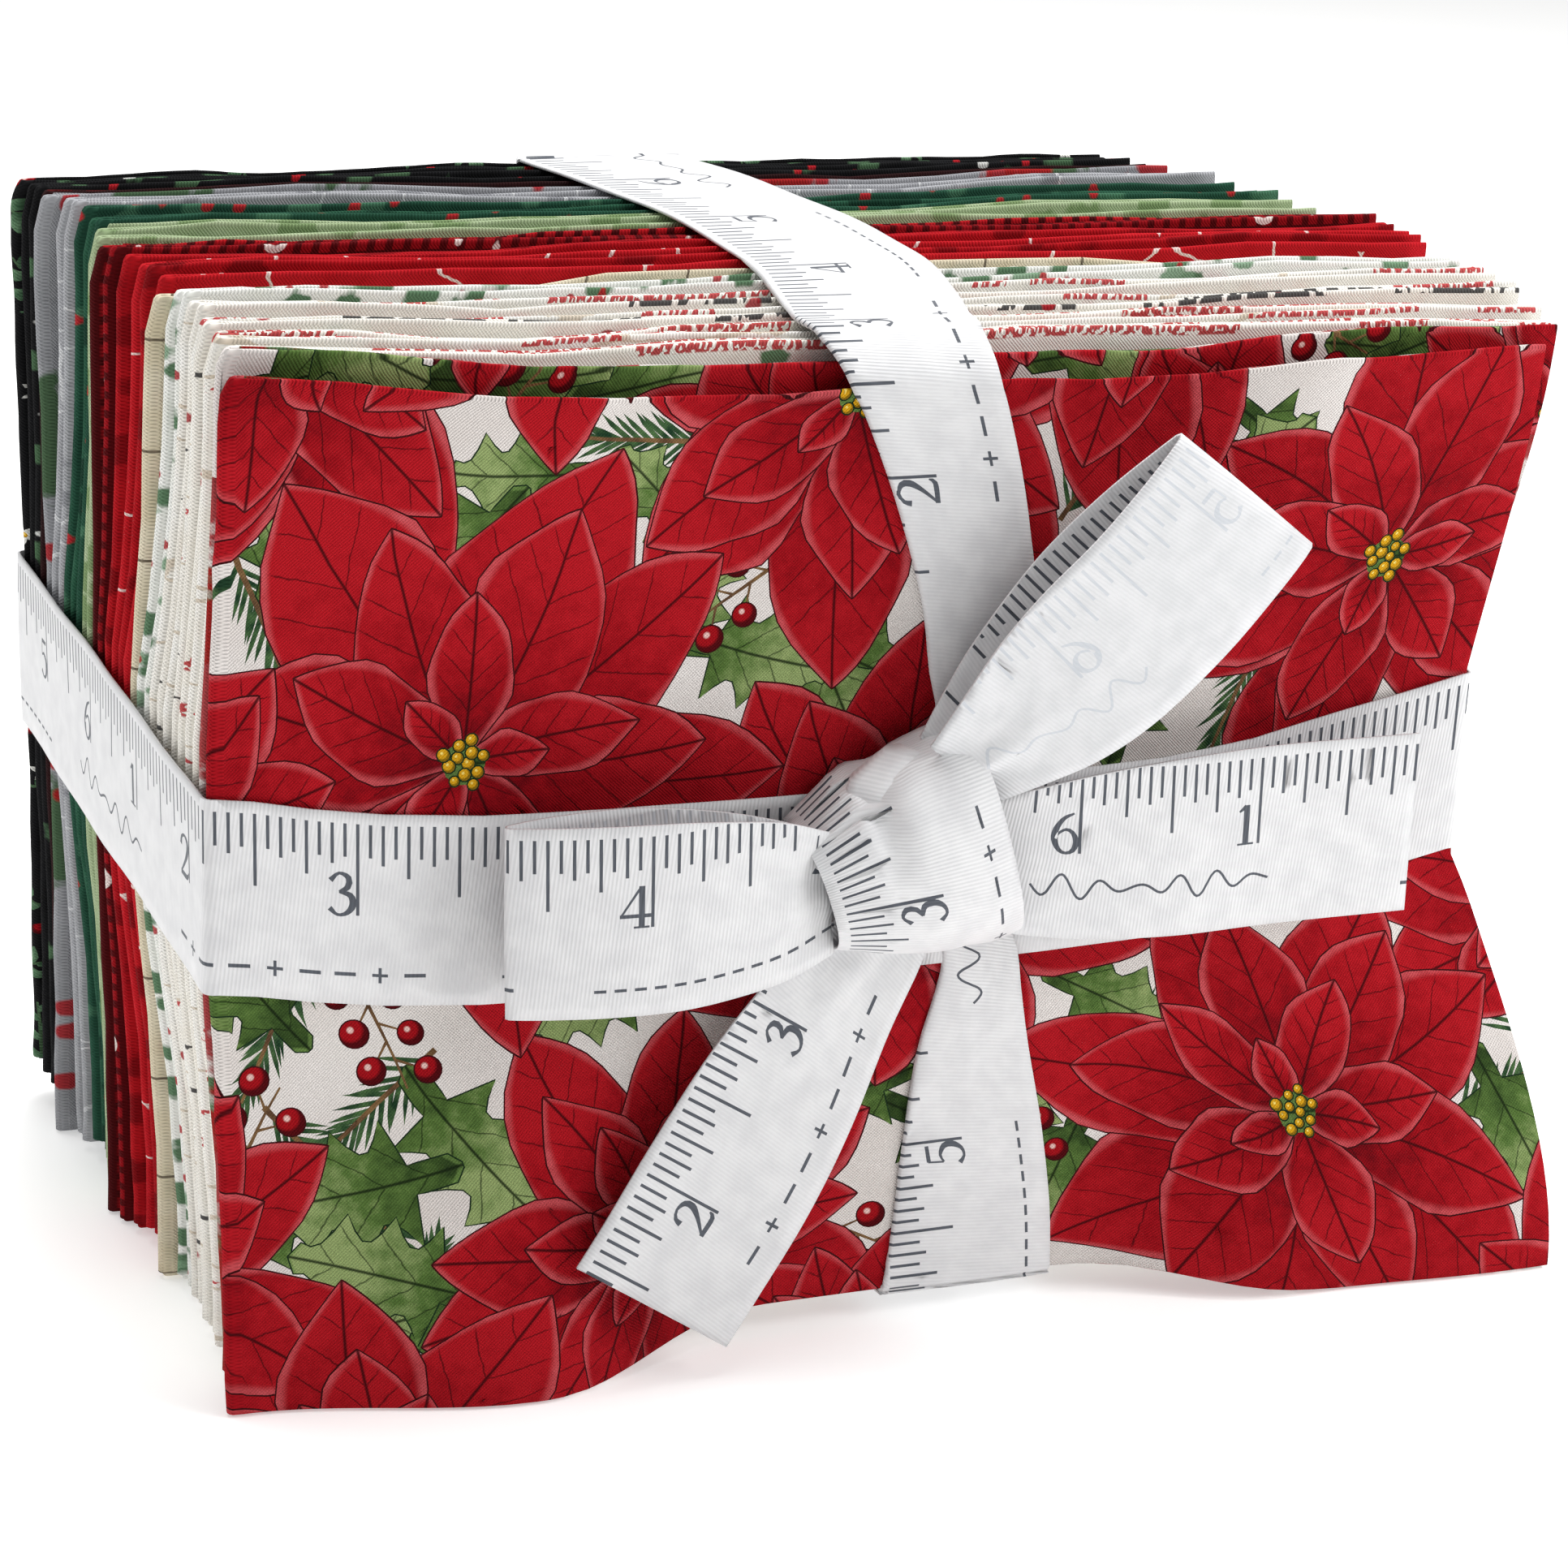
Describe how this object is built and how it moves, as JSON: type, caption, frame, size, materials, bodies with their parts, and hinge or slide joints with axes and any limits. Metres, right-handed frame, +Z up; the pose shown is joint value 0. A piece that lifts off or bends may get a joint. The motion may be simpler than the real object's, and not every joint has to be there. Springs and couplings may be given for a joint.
{
  "type": "fat quarter bundle",
  "caption": "Folded cuts of printed quilting cotton standing on edge as a block, tied both ways with a white ribbon in a bow.",
  "frame": {"origin": "centre of the bundle's footprint, on the surface it stands on", "axes": "+X along the face's width to the right as seen from the front, +Y from the front face to the back of the stack, +Z up"},
  "size_m": [0.1914, 0.1232, 0.1362],
  "materials": {
    "cloth_crimson": "plain weave printed cotton, matt",
    "cloth_scarlet": "plain weave printed cotton, matt",
    "cloth_maroon": "plain weave printed cotton, matt",
    "cloth_cream": "plain weave printed cotton, matt",
    "cloth_white": "plain weave printed cotton, matt",
    "cloth_beige": "plain weave printed cotton, matt",
    "cloth_sage": "plain weave printed cotton, matt",
    "cloth_forest": "plain weave printed cotton, matt",
    "cloth_grey": "plain weave printed cotton, matt",
    "cloth_black": "plain weave printed cotton, matt",
    "ribbon_twill": "smooth twill, soft sheen"
  },
  "bodies": {
    "root": {"fat_quarter_01": "cloth_crimson", "fat_quarter_02": "cloth_crimson", "fat_quarter_03": "cloth_cream", "fat_quarter_04": "cloth_cream", "fat_quarter_05": "cloth_cream", "fat_quarter_06": "cloth_cream", "fat_quarter_07": "cloth_cream", "fat_quarter_08": "cloth_cream", "fat_quarter_09": "cloth_cream", "fat_quarter_10": "cloth_white", "fat_quarter_11": "cloth_white", "fat_quarter_12": "cloth_beige", "fat_quarter_13": "cloth_scarlet", "fat_quarter_14": "cloth_scarlet", "fat_quarter_15": "cloth_crimson", "fat_quarter_16": "cloth_crimson", "fat_quarter_17": "cloth_maroon", "fat_quarter_18": "cloth_scarlet", "fat_quarter_19": "cloth_sage", "fat_quarter_20": "cloth_sage", "fat_quarter_21": "cloth_forest", "fat_quarter_22": "cloth_forest", "fat_quarter_23": "cloth_forest", "fat_quarter_24": "cloth_grey", "fat_quarter_25": "cloth_grey", "fat_quarter_26": "cloth_grey", "fat_quarter_27": "cloth_maroon", "fat_quarter_28": "cloth_black", "fat_quarter_29": "cloth_black", "fat_quarter_30": "cloth_black", "ribbon_band_level": "ribbon_twill", "ribbon_band_upright": "ribbon_twill", "ribbon_knot": "ribbon_twill", "ribbon_loop_left": "ribbon_twill", "ribbon_loop_right": "ribbon_twill", "ribbon_tail_left": "ribbon_twill", "ribbon_tail_right": "ribbon_twill"}
  },
  "joints": []
}
